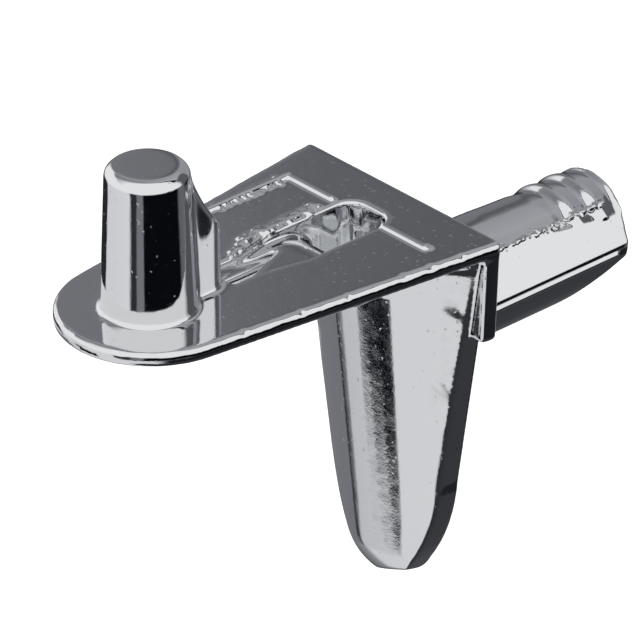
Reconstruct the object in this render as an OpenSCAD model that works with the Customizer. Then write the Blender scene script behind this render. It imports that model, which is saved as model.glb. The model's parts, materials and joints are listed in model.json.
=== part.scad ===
// Shelf support pin for a system hole, die-cast in one piece.
// A barbed dowel goes into the hole, a tongue stands flat against the panel and
// a plate carries the shelf, whose drilled underside drops over the tapered stud.
//
// Millimetres. The origin is the middle of the hole on the panel's face:
// +Y runs into the panel, +X across it and +Z up.

/* [Plate] */
// Width of the plate along the panel
plate_width = 11.5; // [9.6:0.1:14]
// From the panel to the tip of the nose
plate_reach = 17.45; // [14.5:0.05:21]
// Thickness of the plate
plate_thickness = 0.65; // [0.55:0.05:0.9]
// Height of the shelf seat above the middle of the hole
seat_height = 5.35; // [4.6:0.05:6.5]
// Radius of the rounded nose
nose_radius = 3.95; // [3.3:0.05:4.7]
// Radius of the two corners at the panel
corner_radius = 0.2; // [0.15:0.05:0.4]

/* [Stud] */
// Diameter of the stud at its foot
stud_diameter = 3.9; // [3.1:0.1:4.6]
// Height of the stud above the seat
stud_height = 6.3; // [5:0.1:7.6]
// Narrowing of each side of the stud, in degrees
stud_draft = 2.2; // [1:0.1:3]
// Chamfer round the top of the stud
stud_chamfer = 0.3; // [0.2:0.05:0.45]
// Step from the middle of the nose's arc out to the stud
stud_offset = 0.2; // [0:0.05:0.4]
// Fillet round the foot of the stud
foot_fillet = 0.25; // [0.15:0.05:0.4]

/* [Rib behind the stud] */
// Thickness of the rib
rib_thickness = 1.9; // [1.5:0.1:2.3]
// From the middle of the stud to the back of the rib
rib_reach = 3.45; // [2.9:0.05:4]
// Height of the rib's upright back edge
rib_back_height = 2.8; // [2.2:0.1:3.4]
// Drop from the stud's top to where the rib's slope leaves it
rib_drop = 0.3; // [0.3:0.05:0.8]
// Flat left on top of the rib's back edge
rib_crest = 0.3; // [0.2:0.05:0.5]
// Radius of the hollow slope on top of the rib
rib_hollow = 8; // [6:0.5:12]

/* [Pocket in the plate] */
// Width of the pocket near the panel
pocket_width = 2.5; // [2.1:0.1:3]
// Width of its narrow end, behind the rib
pocket_neck = 1.56; // [1.3:0.02:1.8]
// Step of the whole pocket across the plate, towards +X
pocket_shift = 0.15; // [0:0.05:0.2]
// From the panel to the pocket's back end
pocket_setback = 1.9; // [1.6:0.1:2.3]
// From the panel to where the pocket starts to narrow
pocket_shoulder = 6.6; // [6:0.1:7]
// Length over which it narrows
pocket_narrowing = 2.1; // [1.6:0.1:2.4]
// Plate left between the rib and the pocket
pocket_gap = 0.15; // [0.1:0.05:0.3]
// Radius of the corners at the back end
pocket_corner = 0.9; // [0.6:0.05:1.1]
// Depth of the shelf in the middle of the pocket
shelf_depth = 0.45; // [0.35:0.05:0.6]
// Radius of the shelf's edge towards the panel
shelf_radius = 2; // [1.6:0.1:2.2]
// From the panel to the start of that edge
shelf_end = 5.9; // [5.5:0.1:6.3]
// Depth of the narrow end
neck_depth = 0.95; // [0.8:0.05:1.2]
// From the panel to the far end of the slanting ridge between shelf and narrow end
ridge_end = 6.3; // [6:0.1:7]
// Depth near the panel
pocket_depth = 2.3; // [2:0.1:2.6]
// Metal left round and under the pocket
keel_wall = 0.6; // [0.5:0.05:0.8]

/* [Pad against the panel] */
// Height of the pad, measured from the seat
pad_height = 4.55; // [3.8:0.05:5.4]
// Thickness of the pad
pad_thickness = 0.8; // [0.65:0.05:0.95]
// Slope of the pad's sides, in degrees
pad_draft = 3; // [2:0.5:5]

/* [Tongue] */
// From the middle of the hole down to the tongue's tip
tongue_drop = 12.2; // [10.2:0.05:14.6]
// Width of the tongue under the plate
tongue_width = 10.4; // [8.7:0.1:11]
// Narrowing of each side of the tongue, in degrees
tongue_taper = 9.4; // [7:0.2:10.4]
// Radius of the shoulders above the tip
shoulder_radius = 9; // [7:0.5:11]
// Radius of the tip
tongue_tip_radius = 1.9; // [1.6:0.1:2.2]
// Depth of the tongue in the middle, under the plate
tongue_depth = 3.15; // [2.7:0.05:3.7]
// Slope of the front towards the tip, in degrees
front_slope = 5.1; // [4:0.1:6]
// Depth of the tongue at its tip
tongue_tip_depth = 1.15; // [1:0.05:1.3]
// Slope of the ground gate mark across the tip, in degrees
gate_slant = 22; // [15:1:25]
// Slope of the gate mark towards the front, in degrees
gate_rise = 17; // [10:1:20]
// How far under the tip the gate mark's plane passes, in the middle of the panel side
gate_drop = 0.17; // [0.1:0.01:0.3]
// Radius of the toe, where the front turns in to the tip
toe_radius = 2.8; // [2.4:0.1:3.2]
// How far the axis of the tongue's rounded front lies behind the panel's face
crown_axis = 3.95; // [3.4:0.05:4.5]
// Fillet between the front and the plate
crown_fillet = 1; // [0.7:0.1:1.4]

/* [Dowel] */
// Diameter of the hole that the dowel fits
dowel_diameter = 5; // [4.2:0.1:6]
// Length of the dowel, along its top
dowel_length = 10.55; // [9.2:0.05:12.6]
// Slope of the dowel's end face, in degrees
end_slope = 5; // [1:0.5:6]
// Depth of the two upper flats, in their middle
flat_depth = 0.18; // [0.1:0.02:0.3]
// How far the flats look upwards, in degrees
flat_tilt = 25; // [20:1:30]
// Where the lead-in ramp starts under the dowel
ramp_start = 6.15; // [5.1:0.05:7.4]
// Height left between the axis and the ramp at the dowel's end
ramp_end_drop = 0.4; // [0.3:0.05:0.8]

/* [Barbs] */
// Number of barbs
barb_count = 3; // [2:1:4]
// Distance from one barb to the next
barb_pitch = 1.27; // [1.1:0.01:1.4]
// Depth of the valley before each barb
barb_depth = 0.22; // [0.15:0.01:0.3]
// Length of the steep face of a barb
barb_rise = 0.48; // [0.3:0.02:0.6]
// From the last valley to the dowel's end
barb_end = 0.4; // [0.3:0.05:0.7]
// Where the dowel's top starts to fall towards the first valley
fall_start = 4.2; // [3.6:0.1:4.8]
// How far it has fallen shortly before that valley
fall_depth = 0.12; // [0.06:0.01:0.14]
// Length of the steeper end of that fall
fall_end = 0.7; // [0.5:0.1:0.9]
// Angle round the dowel at which the barbs' lower edge meets the flats
saddle_angle = 47; // [44:1:50]
// From the panel to where they meet
saddle_start = 5.4; // [4.6:0.1:6.2]
// Slope of the barbs' lower edge, in degrees
saddle_slope = 6.3; // [4:0.1:8]

/* [Drawing] */
// Which piece to draw
// Smoothness of the round faces
$fn = 96; // [48:12:192]

/* [Hidden] */
// Overlap where two bodies join, so that they share metal
bite = 0.5;
// Small lap where two arcs, or a cut and an edge, cross instead of only touching
lap = 0.03;
// How far a cut runs on past the metal that it takes away
over = 1;
// Smoothness of the rib's long hollow
hollow_fn = 360;
// Facets round the toe
toe_steps = 8;
half_width = plate_width / 2;
plate_underside = seat_height - plate_thickness;
nose_y = -(plate_reach - nose_radius);
plate_side = side_angle(half_width, -nose_y, nose_radius);
stud_y = nose_y - stud_offset;
stud_radius = stud_diameter / 2;
stud_top_radius = stud_radius - stud_height * tan(stud_draft);
rib_back_y = stud_y + rib_reach;
pocket_front_y = rib_back_y + pocket_gap;
neck_y = -(pocket_shoulder + pocket_narrowing);
shelf_z = seat_height - shelf_depth;
pocket_floor = seat_height - pocket_depth;
pocket_back_y = -pocket_setback;
tip_z = -(tongue_drop - tongue_tip_radius);
dowel_radius = dowel_diameter / 2;
flat_reach = dowel_radius - flat_depth;
metal = [0.78, 0.79, 0.8];

// Angle of the normal of a side that starts half_width out and runs on to touch an arc.
function side_angle(half_width, run, radius) =
    atan2(run, half_width) - acos(radius / norm([half_width, run]));

// A unit vector in the plane.
function heading(angle) = [cos(angle), sin(angle)];

// Mirrors a list of points from right to left, in the order that closes an outline.
function mirrored(points) = [for (i = [len(points) - 1:-1:0]) [-points[i].x, points[i].y]];

// Outline of the plate: square to the panel, narrowing to the nose.
module plate_outline() {
    out = heading(plate_side);
    corner = [half_width - corner_radius * (1 - out.y) / out.x, -corner_radius];
    nose = [0, nose_y];
    right = [nose + nose_radius * out, corner + corner_radius * out, [corner.x, 0]];
    polygon(concat(right, mirrored(right)));
    translate(nose) circle(nose_radius);
    for (side = [-1, 1]) {
        translate([side * corner.x, corner.y]) circle(corner_radius);
    }
}

module plate() {
    color(metal) translate([0, 0, plate_underside]) linear_extrude(plate_thickness) plate_outline();
}

// Tapered stud with a chamfered top and a small fillet round its foot.
module stud() {
    root = stud_radius + foot_fillet;
    color(metal) translate([0, stud_y, seat_height]) rotate_extrude() {
        polygon([
            [0, -bite],
            [stud_radius, -bite],
            [stud_radius, 0],
            [stud_top_radius, stud_height - stud_chamfer],
            [stud_top_radius - stud_chamfer, stud_height],
            [0, stud_height]
        ]);
        difference() {
            translate([0, -bite]) square([root, bite + foot_fillet]);
            translate([root - lap, foot_fillet - lap]) circle(foot_fillet, $fn = 48);
        }
    }
}

// Side profile of the rib, from the middle of the stud towards the panel.
module rib_profile() {
    high = [stud_top_radius - stud_chamfer, stud_height - rib_drop];
    low = [rib_reach - rib_crest, rib_back_height];
    half_span = norm(high - low) / 2;
    out = heading(atan2(low.x - high.x, high.y - low.y));
    middle = (high + low) / 2 + sqrt(rib_hollow * rib_hollow - half_span * half_span) * out;
    difference() {
        polygon([
            [0, -bite],
            [rib_reach + bite, -bite],
            [rib_reach + bite, low.y],
            low,
            high,
            [0, high.y]
        ]);
        translate(middle) circle(rib_hollow, $fn = hollow_fn);
    }
}

// Rib that stiffens the stud on the panel side, round at the back.
module rib() {
    round = rib_thickness / 2;
    color(metal) translate([0, stud_y, seat_height]) intersection() {
        translate([0, 0, -bite]) linear_extrude(stud_height + bite) {
            translate([-round, 0]) square([rib_thickness, rib_reach - round]);
            translate([0, rib_reach - round]) circle(round);
        }
        across() rib_profile();
    }
}

// Right half of the pocket's plan, widened all round by a wall.
module pocket_half(wall) {
    half = pocket_width / 2 + wall;
    neck = pocket_neck / 2 + wall;
    round = pocket_corner + wall;
    back_y = pocket_back_y + wall;
    polygon([
        [0, pocket_front_y - wall],
        [neck, pocket_front_y - wall],
        [neck, neck_y],
        [half, -pocket_shoulder],
        [half, back_y - round],
        [half - round, back_y],
        [0, back_y]
    ]);
    translate([half - round, back_y - round]) circle(round);
}

module pocket_plan(wall) {
    translate([pocket_shift, 0]) {
        pocket_half(wall);
        mirror([1, 0]) pocket_half(wall);
    }
}

// Side profile under the pocket: a shelf that rolls over an edge to the deep end.
module shelf_profile() {
    start = pocket_front_y - over;
    translate([start, pocket_floor - bite]) square([-shelf_end - start, shelf_z - pocket_floor + bite]);
    translate([-shelf_end, shelf_z - shelf_radius]) circle(shelf_radius);
}

// Turns a side profile into a slab across the whole plate.
module across() {
    rotate([90, 0, 90]) translate([0, 0, -half_width]) linear_extrude(plate_width) children();
}

// Narrow end of the pocket: a deeper triangle, with a slanting ridge against the shelf.
module neck_recess() {
    side = pocket_neck / 2;
    translate([pocket_shift, 0, seat_height - neck_depth]) linear_extrude(neck_depth + over) {
        polygon([[-side, pocket_front_y], [side, pocket_front_y], [-side, -ridge_end]]);
    }
}

module pocket() {
    difference() {
        translate([0, 0, pocket_floor]) linear_extrude(pocket_depth + over) pocket_plan(0);
        across() shelf_profile();
    }
    neck_recess();
}

// Keel under the plate that closes the pocket from below.
module keel() {
    lowest = pocket_floor - keel_wall;
    high = seat_height - neck_depth - keel_wall;
    front_y = pocket_front_y - keel_wall - over;
    color(metal) difference() {
        translate([0, 0, lowest]) linear_extrude(plate_underside + plate_thickness / 2 - lowest) {
            pocket_plan(keel_wall);
        }
        // Relief under the shelf, so that the metal there is no thicker than it need be.
        across() polygon([
            [front_y, lowest - over],
            [high - lowest + over - shelf_end, lowest - over],
            [-shelf_end, high],
            [front_y, high]
        ]);
    }
}

// One side of the pad: the plate's corner carried down at a slight slope.
module pad_side() {
    translate([half_width, 0, seat_height]) rotate([0, pad_draft, 0]) {
        translate([-half_width, 0, -2 * pad_height]) linear_extrude(3 * pad_height) intersection() {
            plate_outline();
            translate([-half_width / 3, -pad_thickness]) square([2 * half_width, pad_thickness]);
        }
    }
}

// Pad across the full width of the plate that bears on the panel.
module pad() {
    color(metal) intersection() {
        union() {
            pad_side();
            mirror([1, 0, 0]) pad_side();
        }
        translate([-plate_width, -pad_thickness - over, seat_height - pad_height]) {
            cube([2 * plate_width, pad_thickness + 2 * over, pad_height - plate_thickness / 2]);
        }
    }
}

// Front view of the tongue: straight sides, long shoulders and a small round tip.
module tongue_outline() {
    half = tongue_width / 2;
    out = heading(-tongue_taper);
    up = heading(90 - tongue_taper);
    tip = [0, tip_z];
    // The shoulder's arc just crosses the side line and the tip's arc.
    reach = shoulder_radius - lap;
    inset = reach - ([half, plate_underside] - tip) * out;
    between = shoulder_radius - tongue_tip_radius + lap;
    middle = tip - inset * out + sqrt(between * between - inset * inset) * up;
    high = middle + reach * out;
    low_y = tip.y - tongue_tip_radius * (middle.y - tip.y) / between;
    lift = plate_thickness / 2;
    root = [half - lift * out.y / out.x, plate_underside + lift];
    polygon([high, root, [-root.x, root.y], [-high.x, high.y]]);
    intersection() {
        translate([-half, low_y]) square([tongue_width, tongue_drop]);
        translate(middle) circle(shoulder_radius);
        translate([-middle.x, middle.y]) circle(shoulder_radius);
    }
    translate(tip) circle(tongue_tip_radius);
}

// Side profile of the tongue's crowned front, as a distance from the crown's axis.
module crown_profile() {
    top = [crown_axis + tongue_depth, plate_underside];
    tip = [crown_axis + tongue_tip_depth, -tongue_drop];
    down = heading(-90 - front_slope);
    out = heading(-front_slope);
    // The toe's arc touches the sloping front and ends at the tip.
    gap = top - toe_radius * out - tip;
    along = -(down * gap) - sqrt(pow(down * gap, 2) - gap * gap + toe_radius * toe_radius);
    middle = top + along * down - toe_radius * out;
    turn = atan2(tip.y - middle.y, tip.x - middle.x) + front_slope;
    toe = [for (i = [toe_steps:-1:0])
        middle + toe_radius * heading(turn * i / toe_steps - front_slope)];
    high = plate_underside + plate_thickness / 2;
    polygon(concat(
        [[0, tip.y - bite], [tip.x - bite, tip.y - bite]],
        toe,
        [top, [top.x, high], [0, high]]
    ));
    // The fillet under the plate touches the sloping front too.
    run = crown_fillet * (1 - sin(front_slope)) / cos(front_slope);
    hollow = top + run * down + crown_fillet * out;
    foot = top + run * down - [bite, 0];
    difference() {
        polygon([foot, hollow, [hollow.x, high], [foot.x, high]]);
        translate(hollow + lap * [-1, 1]) circle(crown_fillet);
    }
}

// Tongue: flat at the back, crowned at the front, its sides square to the panel.
// The gate was ground off across its tip.
module tongue() {
    deep = crown_axis + tongue_depth + crown_fillet;
    color(metal) difference() {
        intersection() {
            rotate([90, 0, 0]) linear_extrude(deep) tongue_outline();
            translate([0, crown_axis, 0]) rotate_extrude($fn = 2 * $fn) crown_profile();
        }
        translate([0, 0, -tongue_drop - gate_drop]) rotate([-gate_rise, -gate_slant, 0]) {
            translate([-tongue_width, -2 * deep, -tongue_drop]) cube([2 * tongue_width, 4 * deep, tongue_drop]);
        }
    }
}

// Side profile of the barbed top of the dowel, from the panel outwards.
module barbed_profile() {
    first_valley = dowel_length - barb_end - (barb_count - 1) * barb_pitch;
    valley = dowel_radius - barb_depth;
    polygon(concat(
        [[0, -bite], [dowel_radius, -bite], [dowel_radius, fall_start]],
        [[dowel_radius - fall_depth, first_valley - fall_end]],
        [for (i = [0:barb_count - 1], tip = [0, 1])
            [tip == 0 ? valley : dowel_radius, first_valley + i * barb_pitch + tip * barb_rise]],
        [[dowel_radius, dowel_length + over], [0, dowel_length + over]]
    ));
}

// All that lies above the barbs' lower edge, which slopes down towards the dowel's end.
module saddle_zone() {
    translate([0, saddle_start, dowel_radius * sin(saddle_angle)]) rotate([-saddle_slope, 0, 0]) {
        translate([-dowel_diameter, -dowel_length, 0]) cube([2 * dowel_diameter, 2 * dowel_length, dowel_diameter]);
    }
}

// Side profile of the dowel: a lead-in ramp below and an end face that leans out at the top.
module dowel_profile() {
    ramp = (dowel_radius - ramp_end_drop) / (dowel_length - ramp_start);
    lean = tan(end_slope);
    low_z = -(ramp_end_drop + dowel_radius * ramp * lean) / (1 - ramp * lean);
    outside = dowel_radius + lap;
    polygon([
        [-2 * bite, -outside],
        [ramp_start - lap / ramp, -outside],
        [dowel_length + (low_z - dowel_radius) * lean, low_z],
        [dowel_length + lap * lean, outside],
        [-2 * bite, outside]
    ]);
}

// Dowel with two slanting flats and barbs along its crown.
module dowel() {
    color(metal) difference() {
        intersection() {
            rotate([-90, 0, 0]) translate([0, 0, -bite]) cylinder(h = dowel_length + 2 * bite, r = dowel_radius);
            across() dowel_profile();
        }
        // Barbs: all that lies outside the barbed profile, above their lower edge.
        difference() {
            saddle_zone();
            rotate([-90, 0, 0]) rotate_extrude() barbed_profile();
        }
        // Flats, below that edge.
        difference() {
            for (side = [0, 1]) {
                mirror([side, 0, 0]) rotate([0, -flat_tilt, 0]) {
                    translate([flat_reach, lap, -dowel_radius]) {
                        cube([dowel_radius, dowel_length + over, dowel_diameter]);
                    }
                }
            }
            saddle_zone();
        }
    }
}

module support_pin() {
    difference() {
        union() {
            plate();
            keel();
            stud();
            rib();
            pad();
            tongue();
            dowel();
        }
        pocket();
    }
}

support_pin();
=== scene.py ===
"""Shelf support pin: looks, floor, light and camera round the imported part.

A die-cast zinc support with bright nickel plating. Its edges are rounded by the
die and by tumbling, and its faces keep the fine pits and ripples of the casting.
"""

import json
import math
import random

import bmesh
import bpy
from bpy.props import FloatProperty, FloatVectorProperty, IntProperty, PointerProperty
from mathutils import Matrix, Vector, noise


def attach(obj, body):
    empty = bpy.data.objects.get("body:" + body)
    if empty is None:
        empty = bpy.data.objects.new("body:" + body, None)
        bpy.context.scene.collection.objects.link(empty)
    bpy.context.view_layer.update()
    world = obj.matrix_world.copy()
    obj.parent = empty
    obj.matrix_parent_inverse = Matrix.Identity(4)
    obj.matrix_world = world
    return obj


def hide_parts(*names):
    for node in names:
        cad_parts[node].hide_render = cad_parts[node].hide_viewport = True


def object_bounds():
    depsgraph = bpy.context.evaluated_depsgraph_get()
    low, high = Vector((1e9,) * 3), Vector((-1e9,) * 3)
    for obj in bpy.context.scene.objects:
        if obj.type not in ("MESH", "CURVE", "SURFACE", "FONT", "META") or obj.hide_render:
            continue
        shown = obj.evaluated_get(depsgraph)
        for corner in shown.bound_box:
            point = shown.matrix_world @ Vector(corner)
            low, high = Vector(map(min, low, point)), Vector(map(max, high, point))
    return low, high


bl_info = {
    "name": "Shelf support pin",
    "version": (1, 0, 0),
    "blender": (4, 5, 0),
    "location": "View3D > Sidebar > Shelf pin",
    "description": "Finishes a nickel-plated shelf support and sets up its studio",
    "category": "Add Mesh",
}

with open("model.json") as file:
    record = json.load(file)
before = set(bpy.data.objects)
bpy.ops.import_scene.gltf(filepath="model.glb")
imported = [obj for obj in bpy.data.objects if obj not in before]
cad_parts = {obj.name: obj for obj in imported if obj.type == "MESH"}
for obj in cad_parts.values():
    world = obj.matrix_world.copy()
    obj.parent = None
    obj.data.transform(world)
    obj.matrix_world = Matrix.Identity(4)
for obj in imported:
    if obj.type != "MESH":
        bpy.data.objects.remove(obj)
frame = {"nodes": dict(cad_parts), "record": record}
MM = 0.001
NODE = "support_pin"
CAD_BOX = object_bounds()
MOUNTS = {mount["name"]: mount for mount in frame["record"]["mounts"]}

# In millimetres: the shelf seat's height above the middle of the hole, and the
# plate's outline, whose straight sides run from the panel on to the nose's arc.
SEAT = MOUNTS["shelf_seat"]["pos_m"][2] / MM
NOSE = Vector((0, -13.5))
NOSE_RADIUS = 3.95
SIDE_ANGLE = math.radians(-7.45)
# Along the plate, in millimetres: where handling has nicked its edge.
NICKS = (-12.3, -9.6, -7.4, -4.7, -3.4, -1.9)

# The studio as the metal sees it: rings of white, grey and black cards, from the
# floor upwards. Each ring has a name, the height at which it starts (as the sine
# of its elevation), how softly it starts, and its cards. A card is a bearing
# round the part, in degrees, and a brightness, and one card grades into the next.
CARD_RINGS = (
    ("floor", -1.0, 0.0, (
        (-180, 0.05), (-110, 0.12), (-75, 0.3), (-60, 0.72), (15, 0.8), (28, 0.03), (180, 0.05),
    )),
    ("low", -0.66, 0.004, (
        (-180, 0.19), (-75, 0.2), (-73.5, 0.03), (-71, 0.03), (-68, 0.6), (-20, 0.7),
        (-18, 0.78), (50, 0.8), (66, 0.01), (180, 0.02),
    )),
    ("edge", -0.511, 0.005, (
        (-180, 0.3), (-110, 0.7), (-54, 0.7), (-50, 0.03), (-42, 0.03), (-38, 0.72), (6, 0.75),
        (14, 0.2), (24, 0.04), (52, 0.03), (60, 0.1), (92, 0.1), (98, 0.03), (180, 0.03),
    )),
    ("middle", -0.485, 0.006, (
        (-180, 0.2), (-120, 0.02), (-77, 0.02), (-72, 0.74), (2, 0.8), (6, 0.03), (20, 0.03),
        (24, 0.2), (36, 0.2), (40, 0.003), (132, 0.003), (138, 0.13), (156, 0.16), (162, 0.01),
        (180, 0.02),
    )),
    ("high", -0.2, 0.05, (
        (-180, 0.32), (-143, 0.34), (-135.5, 0.12), (-133.4, 0.12), (-131.8, 0.145),
        (-130.6, 0.2), (-114, 0.2), (-104, 0.95), (140, 0.95), (150, 0.115), (180, 0.115),
    )),
    ("top", 0.6, 0.04, (
        (-180, 0.42), (-120, 0.32), (-80, 0.2), (-60, 0.5), (-30, 0.95), (137, 0.95),
        (139, 0.005), (149, 0.005), (152, 0.6), (158, 0.5), (162, 0.38), (180, 0.42),
    )),
)


def linear(hex_code):
    """Turns an sRGB hex colour into the linear RGBA that shaders take."""
    out = []
    for i in (0, 2, 4):
        c = int(hex_code[i : i + 2], 16) / 255
        out.append(c / 12.92 if c <= 0.04045 else ((c + 0.055) / 1.055) ** 2.4)
    return (*out, 1.0)


def add_node(tree, kind, links=None, values=None, **settings):
    """Adds one shader node, sets its properties and sockets, and links its inputs."""
    made = tree.nodes.new(kind)
    for name, value in settings.items():
        setattr(made, name, value)
    for socket, value in (values or {}).items():
        made.inputs[socket].default_value = value
    for socket, source in (links or {}).items():
        tree.links.new(source, made.inputs[socket])
    return made


class CastingSettings(bpy.types.PropertyGroup):
    """Sizes, in millimetres, and finish of the plated casting."""

    plating: FloatVectorProperty(
        name="Plating",
        description="Colour of the nickel",
        default=linear("E4E5E6"),
        size=4,
        min=0.0,
        max=1.0,
        subtype="COLOR",
    )
    roughness: FloatProperty(
        name="Roughness",
        description="Roughness of the plating between its pits",
        default=0.04,
        min=0.02,
        max=0.6,
        subtype="FACTOR",
    )
    dulling: FloatProperty(
        name="Dulling",
        description="How much rougher the plating is in its dull patches",
        default=0.05,
        min=0.0,
        max=0.4,
        subtype="FACTOR",
    )
    step: FloatProperty(
        name="Surface step",
        description="Spacing of the skin's mesh, in millimetres",
        default=0.055,
        min=0.05,
        max=0.3,
    )
    rounding: IntProperty(
        name="Edge rounding",
        description="Passes of smoothing that round the casting's edges",
        default=38,
        min=0,
        max=60,
    )
    polish: IntProperty(
        name="Flash rounding",
        description="Passes of smoothing over the beads and the flash",
        default=3,
        min=0,
        max=20,
    )
    most_triangles: IntProperty(
        name="Most triangles",
        description="Triangles kept when the skin is thinned where it is flat",
        default=190000,
        min=20000,
        max=199000,
    )
    rolled_edge: FloatProperty(
        name="Rolled edge",
        description="Radius of the plate's top edge, in millimetres",
        default=0.25,
        min=0.1,
        max=0.3,
    )
    edge_wander: FloatProperty(
        name="Edge wander",
        description="How far that radius wanders along the edge, in millimetres",
        default=0.06,
        min=0.0,
        max=0.09,
    )
    bead: FloatProperty(
        name="Bead",
        description="Radius of the raised bead on the plate, in millimetres",
        default=0.16,
        min=0.05,
        max=0.3,
    )
    seam: FloatProperty(
        name="Seam",
        description="Radius of the die's seam along the dowel, in millimetres",
        default=0.11,
        min=0.05,
        max=0.2,
    )


class StudioSettings(bpy.types.PropertyGroup):
    """Where the camera, the lamp and the floor stand."""

    azimuth: FloatProperty(
        name="Azimuth",
        description="Bearing of the camera round the part",
        default=math.radians(47.777),
        subtype="ANGLE",
    )
    elevation: FloatProperty(
        name="Elevation",
        description="Height of the camera above the horizon",
        default=math.radians(29.807),
        subtype="ANGLE",
    )
    roll: FloatProperty(
        name="Roll",
        description="Turn of the camera about its own line of sight",
        default=math.radians(-0.214),
        subtype="ANGLE",
    )
    distance: FloatProperty(
        name="Distance",
        description="From the part to the camera",
        default=0.31592,
        unit="LENGTH",
    )
    lens: FloatProperty(
        name="Lens",
        description="Focal length on a sensor 36 mm wide, in millimetres",
        default=443.385,
        min=50.0,
    )
    floor_drop: FloatProperty(
        name="Floor drop",
        description="From the part's lowest point down to the floor",
        default=0.045,
        unit="LENGTH",
    )
    lamp_power: FloatProperty(
        name="Lamp",
        description="Power of the overhead softbox, in watts",
        default=0.2,
        min=0.0,
    )


def nickel_plating(settings):
    """Bright nickel over a zinc die-casting.

    The plating is a mirror that follows the casting's skin, so its faint
    ripples, its grain and its pits break up the edges of every reflection.
    """
    material = bpy.data.materials.new("bright_nickel_plating")
    material.use_nodes = True
    tree = material.node_tree
    tree.nodes.clear()
    place = add_node(tree, "ShaderNodeTexCoord").outputs["Object"]
    # Ripples of the casting's skin, about 1.2 mm apart and a few microns high.
    ripple = add_node(
        tree,
        "ShaderNodeTexNoise",
        {"Vector": place},
        {"Scale": 1 / (1.2 * MM), "Detail": 2.0, "Roughness": 0.5},
    )
    ripples = add_node(
        tree,
        "ShaderNodeBump",
        {"Height": ripple.outputs["Fac"]},
        {"Strength": 1.0, "Distance": 0.003 * MM},
    )
    # Grain of the plated skin, 0.1 mm across: finer on the real thing, and drawn
    # as coarse as it needs to show.
    grain = add_node(
        tree,
        "ShaderNodeTexNoise",
        {"Vector": place},
        {"Scale": 1 / (0.1 * MM), "Detail": 2.0, "Roughness": 0.6},
    )
    grains = add_node(
        tree,
        "ShaderNodeBump",
        {"Height": grain.outputs["Fac"], "Normal": ripples.outputs["Normal"]},
        {"Strength": 1.0, "Distance": 0.0009 * MM},
    )
    # Scattered pits, 0.16 mm apart at the closest and 4 microns deep.
    pit = add_node(
        tree,
        "ShaderNodeTexNoise",
        {"Vector": place},
        {"Scale": 1 / (0.16 * MM), "Detail": 0.0},
    )
    pitted = add_node(
        tree,
        "ShaderNodeMapRange",
        {"Value": pit.outputs["Fac"]},
        {"From Min": 0.78, "From Max": 0.86, "To Min": 1.0, "To Max": 0.0},
    )
    pits = add_node(
        tree,
        "ShaderNodeBump",
        {"Height": pitted.outputs["Result"], "Normal": grains.outputs["Normal"]},
        {"Strength": 1.0, "Distance": 0.004 * MM},
    )
    # The skin is duller in patches about 0.5 mm across.
    patches = add_node(
        tree,
        "ShaderNodeTexNoise",
        {"Vector": place},
        {"Scale": 1 / (0.5 * MM), "Detail": 3.0, "Roughness": 0.6},
    )
    dull = add_node(
        tree,
        "ShaderNodeMapRange",
        {"Value": patches.outputs["Fac"]},
        {
            "From Min": 0.35,
            "From Max": 0.7,
            "To Min": settings.roughness,
            "To Max": settings.roughness + settings.dulling,
        },
    )
    shader = add_node(
        tree,
        "ShaderNodeBsdfPrincipled",
        {"Normal": pits.outputs["Normal"], "Roughness": dull.outputs["Result"]},
        {"Base Color": settings.plating, "Metallic": 1.0},
    )
    add_node(tree, "ShaderNodeOutputMaterial", {"Surface": shader.outputs["BSDF"]})
    return material


def add_rod(shape, start, end, radius):
    """Adds a round rod between two points, half sunk where a bead or a seam runs."""
    start, end = Vector(start), Vector(end)
    along = end - start
    turn = along.to_track_quat("Z", "Y").to_matrix().to_4x4()
    bmesh.ops.create_cone(
        shape,
        cap_ends=True,
        segments=16,
        radius1=radius,
        radius2=radius,
        depth=along.length,
        matrix=Matrix.Translation((start + end) / 2) @ turn,
    )
    for place in (start, end):
        bmesh.ops.create_icosphere(
            shape, subdivisions=2, radius=radius, matrix=Matrix.Translation(place)
        )


def add_crumbs(shape, rng, start, end, spread, count, smallest, largest):
    """Strews crumbs of casting flash along a line, within a spread of it each way."""
    start, end = Vector(start), Vector(end)
    for _ in range(count):
        place = start.lerp(end, rng.random())
        place += Vector([rng.uniform(-width, width) for width in spread])
        radius = smallest + (largest - smallest) * rng.random() ** 2
        place.z -= radius * rng.uniform(0.1, 0.5)
        size = Matrix.Diagonal((rng.uniform(0.8, 1.6), rng.uniform(0.8, 1.6), 1, 1))
        bmesh.ops.create_icosphere(
            shape, subdivisions=2, radius=radius, matrix=Matrix.Translation(place) @ size
        )


def roll_edge(shape, radius, wander):
    """Rolls the plate's top edge over, to a radius that wanders as tumbling leaves it."""
    square_out = Vector((math.cos(SIDE_ANGLE), math.sin(SIDE_ANGLE)))
    for vert in shape.verts:
        if not SEAT - radius - wander < vert.co.z < SEAT + 0.02:
            continue
        side = -1 if vert.co.x < 0 else 1
        across = Vector((abs(vert.co.x), vert.co.y)) - NOSE
        round_nose = math.atan2(across.y, across.x) < SIDE_ANGLE
        out = across.normalized() if round_nose else square_out
        here = radius + wander * noise.noise(vert.co * 1.7)
        over = across.dot(out) - NOSE_RADIUS + here
        rise = vert.co.z - SEAT + here
        reach = math.hypot(over, rise)
        if over > 0 and rise > 0 and reach > here:
            excess = 1 - here / reach
            pull = Vector((side * out.x * over, out.y * over, rise))
            vert.co -= pull * excess


def dent(verts, place, radius, depth):
    """Knocks a dent of a given radius and depth, in millimetres, into the skin."""
    place = Vector(place)
    for vert in verts:
        gap = (vert.co - place).length / radius
        if gap < 1:
            vert.co -= vert.normal * depth * (1 - gap * gap) ** 2


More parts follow.
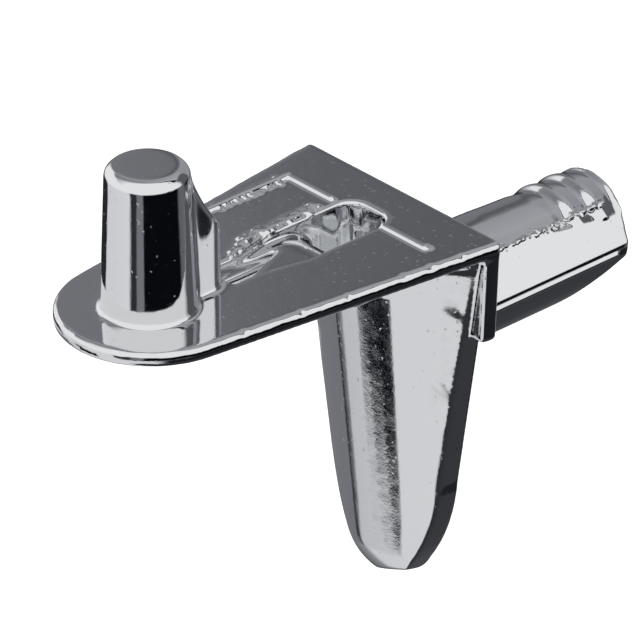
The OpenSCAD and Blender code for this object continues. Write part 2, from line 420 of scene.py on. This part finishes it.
class PIN_OT_casting(bpy.types.Operator):
    """Makes the plated casting with rounded edges from the part's own solid"""

    bl_idname = "shelf_pin.casting"
    bl_label = "Plated casting"

    def execute(self, context):
        settings = context.scene.casting_settings
        piece = self.copy_in_millimetres(context)
        self.skin(context, piece, settings.step, settings.rounding)
        self.add_wear_and_flash(piece, settings)
        self.skin(context, piece, settings.step, settings.polish)
        self.thin_skin(context, piece, settings.most_triangles)
        piece.data.transform(Matrix.Scale(MM, 4))
        piece.data.materials.clear()
        piece.data.materials.append(nickel_plating(settings))
        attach(piece, "root")
        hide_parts(NODE)
        return {"FINISHED"}

    def copy_in_millimetres(self, context):
        """Copies the part's own mesh with its doubles merged.

        It is in millimetres, because in metres the remesher takes no finer step than 0.1 mm.
        """
        shape = bmesh.new()
        shape.from_mesh(frame["nodes"][NODE].data)
        bmesh.ops.remove_doubles(shape, verts=shape.verts, dist=0.0005 * MM)
        bmesh.ops.scale(shape, vec=Vector((1, 1, 1)) / MM, verts=shape.verts)
        mesh = bpy.data.meshes.new("plated_casting")
        shape.to_mesh(mesh)
        shape.free()
        piece = bpy.data.objects.new("plated_casting", mesh)
        context.collection.objects.link(piece)
        return piece

    def skin(self, context, piece, step, passes):
        """Covers the piece with one even skin and smooths it."""
        skin = piece.modifiers.new("skin", "REMESH")
        skin.mode = "VOXEL"
        skin.voxel_size = step
        skin.use_smooth_shade = True
        soften = piece.modifiers.new("soften", "SMOOTH")
        soften.factor = 0.5
        soften.iterations = passes
        self.bake(context, piece)

    def thin_skin(self, context, piece, most_triangles):
        """Thins the skin where it is flat, down to a number of triangles."""
        full = bpy.data.objects.new("full_skin", piece.data.copy())
        context.collection.objects.link(full)
        thin = piece.modifiers.new("thin", "DECIMATE")
        thin.ratio = min(1.0, most_triangles / (2 * len(piece.data.polygons)))
        # The thinned skin takes its shading from the full one, because its own leaves a
        # small dark mark in the tongue's reflection.
        shading = piece.modifiers.new("shading", "DATA_TRANSFER")
        shading.object = full
        shading.use_loop_data = True
        shading.data_types_loops = {"CUSTOM_NORMAL"}
        shading.loop_mapping = "POLYINTERP_NEAREST"
        self.bake(context, piece)
        bpy.data.meshes.remove(full.data)

    def bake(self, context, piece):
        """Applies the piece's modifiers to its mesh."""
        context.view_layer.update()
        raw = piece.data
        finished = piece.evaluated_get(context.evaluated_depsgraph_get())
        piece.data = bpy.data.meshes.new_from_object(finished)
        piece.modifiers.clear()
        bpy.data.meshes.remove(raw)

    def add_wear_and_flash(self, piece, settings):
        """Wears the plate's edge and adds what the die has left on the casting."""
        # Made by themselves, because an operator is slow in a shape as large as the skin.
        extra = bmesh.new()
        self.add_beads(extra, settings)
        self.add_flash(extra)
        spare = bpy.data.meshes.new("spare")
        extra.to_mesh(spare)
        extra.free()
        shape = bmesh.new()
        shape.from_mesh(piece.data)
        roll_edge(shape, settings.rolled_edge, settings.edge_wander)
        self.knock_edges(shape)
        shape.from_mesh(spare)
        shape.to_mesh(piece.data)
        shape.free()
        bpy.data.meshes.remove(spare)

    def add_beads(self, shape, settings):
        """Raised bead round the bare panel on the plate, and the die's seam along the dowel."""
        level = SEAT + 0.02
        back = -2.65
        corner = (-4.1, back, level)
        add_rod(shape, corner, (-4.15, -8.2, level), 1.2 * settings.bead)
        add_rod(shape, corner, (-1.5, back, level), settings.bead)
        add_rod(shape, (1.6, back, level), (4.0, back, level), settings.bead)
        for side in (-2.47, 2.47):
            add_rod(shape, (side, 0.4, -0.2), (side, 9.6, -0.2), settings.seam)

    def add_flash(self, shape):
        """Rough flash where the two halves of the die met."""
        rng = random.Random(5)
        level = SEAT + 0.03
        lines = (
            # Along the pocket's side, and its narrow end.
            ((-1.5, -3.4, level), (-1.45, -7.6, level), (0.16, 0.1, 0), 150, 0.07, 0.2),
            ((-1.2, -7.6, level), (-0.8, -8.8, level), (0.12, 0.1, 0), 30, 0.07, 0.15),
            # Along the bead, and at its other end.
            ((-4.1, -2.65, level), (-4.15, -8.2, level), (0.3, 0.1, 0), 110, 0.06, 0.13),
            ((3.7, -2.7, level), (4.1, -2.5, level), (0.15, 0.15, 0), 14, 0.07, 0.13),
            # Along the upper edge of the dowel's flat.
            ((1.66, 0.5, 1.88), (1.62, 9.6, 1.88), (0.1, 0.1, 0.13), 260, 0.04, 0.08),
        )
        for start, end, spread, count, smallest, largest in lines:
            add_crumbs(shape, rng, start, end, spread, count, smallest, largest)

    def knock_edges(self, shape):
        """Nicks and dents that handling has left along the plate's edge."""
        rng = random.Random(9)
        rim = [vert for vert in shape.verts if abs(vert.co.z - SEAT) < 0.5 and vert.co.x > 3]
        for y in NICKS:
            x = (NOSE_RADIUS - math.sin(SIDE_ANGLE) * (y - NOSE.y)) / math.cos(SIDE_ANGLE)
            place = (x - 0.1, y, SEAT - 0.05)
            dent(rim, place, rng.uniform(0.18, 0.3), rng.uniform(0.03, 0.06))


def set_cards(ramp, cards):
    """Sets a Color Ramp to a ring of cards. The darker a card is, the cooler its grey."""
    elements = ramp.color_ramp.elements
    while len(elements) > 1:
        elements.remove(elements[-1])
    for number, (bearing, level) in enumerate(cards):
        position = (bearing + 180) / 360
        element = elements.new(position) if number else elements[0]
        element.position = position
        cool = level * (1 - level)
        green = level + 0.02 * cool + 0.0005
        blue = level + 0.12 * cool + 0.002
        element.color = (level, green, blue, 1.0)


def behind_leaning_card(tree, bearing, height, ring):
    """Puts a black card in front of a ring. It leans, and hides more the higher it is seen."""
    lean = add_node(
        tree,
        "ShaderNodeMapRange",
        {"Value": height},
        {"From Min": -0.643, "From Max": -0.605, "To Min": -20.0, "To Max": -47.0},
    )
    degrees = add_node(
        tree, "ShaderNodeMath", {0: bearing}, {1: math.degrees(1.0)}, operation="MULTIPLY"
    )
    past = add_node(
        tree,
        "ShaderNodeMath",
        {0: degrees.outputs[0], 1: lean.outputs["Result"]},
        operation="SUBTRACT",
    )
    start = add_node(
        tree,
        "ShaderNodeMapRange",
        {"Value": past.outputs[0]},
        {"From Min": -0.5, "From Max": 0.5},
    )
    stop = add_node(
        tree,
        "ShaderNodeMapRange",
        {"Value": degrees.outputs[0]},
        {"From Min": -21.5, "From Max": -19.0, "To Min": 1.0, "To Max": 0.0},
    )
    share = add_node(
        tree,
        "ShaderNodeMath",
        {0: start.outputs["Result"], 1: stop.outputs["Result"]},
        operation="MULTIPLY",
    )
    mixed = add_node(
        tree,
        "ShaderNodeMix",
        {"Factor": share.outputs[0], 6: ring},
        {7: (0.004, 0.005, 0.008, 1.0)},
        data_type="RGBA",
    )
    return mixed.outputs[2]


def studio_world():
    """White surround for the eye, and rings of cards for the metal's reflections."""
    world = bpy.data.worlds.new("studio")
    bpy.context.scene.world = world
    world.use_nodes = True
    tree = world.node_tree
    tree.nodes.clear()
    direction = add_node(tree, "ShaderNodeTexCoord").outputs["Generated"]
    across, back, height = add_node(
        tree, "ShaderNodeSeparateXYZ", {"Vector": direction}
    ).outputs
    front = add_node(tree, "ShaderNodeMath", {0: back}, {1: -1.0}, operation="MULTIPLY")
    bearing = add_node(
        tree, "ShaderNodeMath", {0: across, 1: front.outputs[0]}, operation="ARCTAN2"
    ).outputs[0]
    turn = add_node(
        tree,
        "ShaderNodeMapRange",
        {"Value": bearing},
        {"From Min": -math.pi, "From Max": math.pi},
    )
    studio = None
    for name, start, softness, cards in CARD_RINGS:
        ramp = add_node(tree, "ShaderNodeValToRGB", {"Fac": turn.outputs["Result"]})
        set_cards(ramp, cards)
        ring = ramp.outputs["Color"]
        if name == "low":
            ring = behind_leaning_card(tree, bearing, height, ring)
        if studio:
            share = add_node(
                tree,
                "ShaderNodeMapRange",
                {"Value": height},
                {"From Min": start - softness, "From Max": start + softness},
            )
            ring = add_node(
                tree,
                "ShaderNodeMix",
                {"Factor": share.outputs["Result"], 6: studio, 7: ring},
                data_type="RGBA",
            ).outputs[2]
        studio = ring
    for_metal = add_node(tree, "ShaderNodeBackground", {"Color": studio}, {"Strength": 1.0})
    for_eye = add_node(
        tree, "ShaderNodeBackground", None, {"Color": (1, 1, 1, 1), "Strength": 1.0}
    )
    path = add_node(tree, "ShaderNodeLightPath")
    both = add_node(
        tree,
        "ShaderNodeMixShader",
        {0: path.outputs["Is Glossy Ray"], 1: for_eye.outputs[0], 2: for_metal.outputs[0]},
    )
    add_node(tree, "ShaderNodeOutputWorld", {"Surface": both.outputs[0]})


def floor_paint():
    """Matt white paint of the studio's floor, white to the eye where no shadow falls."""
    material = bpy.data.materials.new("matt_white_floor")
    material.use_nodes = True
    tree = material.node_tree
    tree.nodes.clear()
    path = add_node(tree, "ShaderNodeLightPath")
    matt = add_node(tree, "ShaderNodeBsdfDiffuse", None, {"Color": linear("F2F2F2")})
    glow = add_node(
        tree,
        "ShaderNodeEmission",
        {"Strength": path.outputs["Is Camera Ray"]},
        {"Color": (0.3, 0.3, 0.3, 1.0)},
    )
    both = add_node(tree, "ShaderNodeAddShader", {0: matt.outputs[0], 1: glow.outputs[0]})
    add_node(tree, "ShaderNodeOutputMaterial", {"Surface": both.outputs[0]})
    return material


class PIN_OT_stage(bpy.types.Operator):
    """Makes the floor, the light and the camera"""

    bl_idname = "shelf_pin.stage"
    bl_label = "Studio"

    def execute(self, context):
        settings = context.scene.studio_settings
        context.scene.view_settings.view_transform = "Standard"
        self.add_floor(context, settings)
        self.add_lamp(context, settings)
        studio_world()
        self.add_camera(context, settings)
        return {"FINISHED"}

    def add_floor(self, context, settings):
        """Plain floor, well below the part, which hangs by its dowel in use."""
        mesh = bpy.data.meshes.new("studio_floor")
        level = Vector((0, 0, CAD_BOX[0].z - settings.floor_drop))
        shape = bmesh.new()
        bmesh.ops.create_grid(shape, x_segments=1, y_segments=1, size=2.0)
        bmesh.ops.translate(shape, vec=level, verts=shape.verts)
        shape.to_mesh(mesh)
        shape.free()
        mesh.materials.append(floor_paint())
        floor = bpy.data.objects.new("studio_floor", mesh)
        floor.visible_glossy = False
        context.collection.objects.link(floor)

    def add_lamp(self, context, settings):
        """Soft lamp overhead, turned towards the part."""
        lamp_data = bpy.data.lights.new("overhead_softbox", "AREA")
        lamp_data.shape = "DISK"
        lamp_data.size = 0.3
        lamp_data.energy = settings.lamp_power
        lamp = bpy.data.objects.new("overhead_softbox", lamp_data)
        lamp.location = (0.05, -0.05, 0.35)
        lamp.rotation_euler = lamp.location.to_track_quat("Z", "Y").to_euler()
        lamp.visible_glossy = False
        context.collection.objects.link(lamp)

    def add_camera(self, context, settings):
        """Camera with a long lens, aimed at a point just under the plate."""
        aim = Vector((0, -5, 2.35)) * MM
        # Slid to its right and down, without turning, to frame the whole part.
        slide = Vector((0.263, -0.9, 0)) * MM
        turn = (
            Matrix.Rotation(settings.azimuth, 4, "Z")
            @ Matrix.Rotation(math.pi / 2 - settings.elevation, 4, "X")
            @ Matrix.Rotation(settings.roll, 4, "Z")
        )
        camera_data = bpy.data.cameras.new("camera")
        camera_data.sensor_width = 36
        camera_data.lens = settings.lens
        camera_data.clip_start = 0.01
        camera_data.clip_end = 20
        camera = bpy.data.objects.new("camera", camera_data)
        back = Vector((0, 0, settings.distance))
        camera.matrix_world = Matrix.Translation(aim) @ turn @ Matrix.Translation(slide + back)
        context.collection.objects.link(camera)
        context.scene.camera = camera


class PIN_PT_panel(bpy.types.Panel):
    """Lists the pieces and their settings in the sidebar"""

    bl_idname = "PIN_PT_panel"
    bl_label = "Shelf support pin"
    bl_space_type = "VIEW_3D"
    bl_region_type = "UI"
    bl_category = "Shelf pin"

    def draw(self, context):
        for settings, operator in (
            (context.scene.casting_settings, PIN_OT_casting),
            (context.scene.studio_settings, PIN_OT_stage),
        ):
            for name in settings.__annotations__:
                self.layout.prop(settings, name)
            self.layout.operator(operator.bl_idname)


CLASSES = (CastingSettings, StudioSettings, PIN_OT_casting, PIN_OT_stage, PIN_PT_panel)


def register():
    for cls in CLASSES:
        bpy.utils.register_class(cls)
    bpy.types.Scene.casting_settings = PointerProperty(type=CastingSettings)
    bpy.types.Scene.studio_settings = PointerProperty(type=StudioSettings)


def unregister():
    del bpy.types.Scene.studio_settings
    del bpy.types.Scene.casting_settings
    for cls in reversed(CLASSES):
        bpy.utils.unregister_class(cls)


def main():
    register()
    bpy.ops.shelf_pin.casting()
    bpy.ops.shelf_pin.stage()


if __name__ == "__main__":
    main()
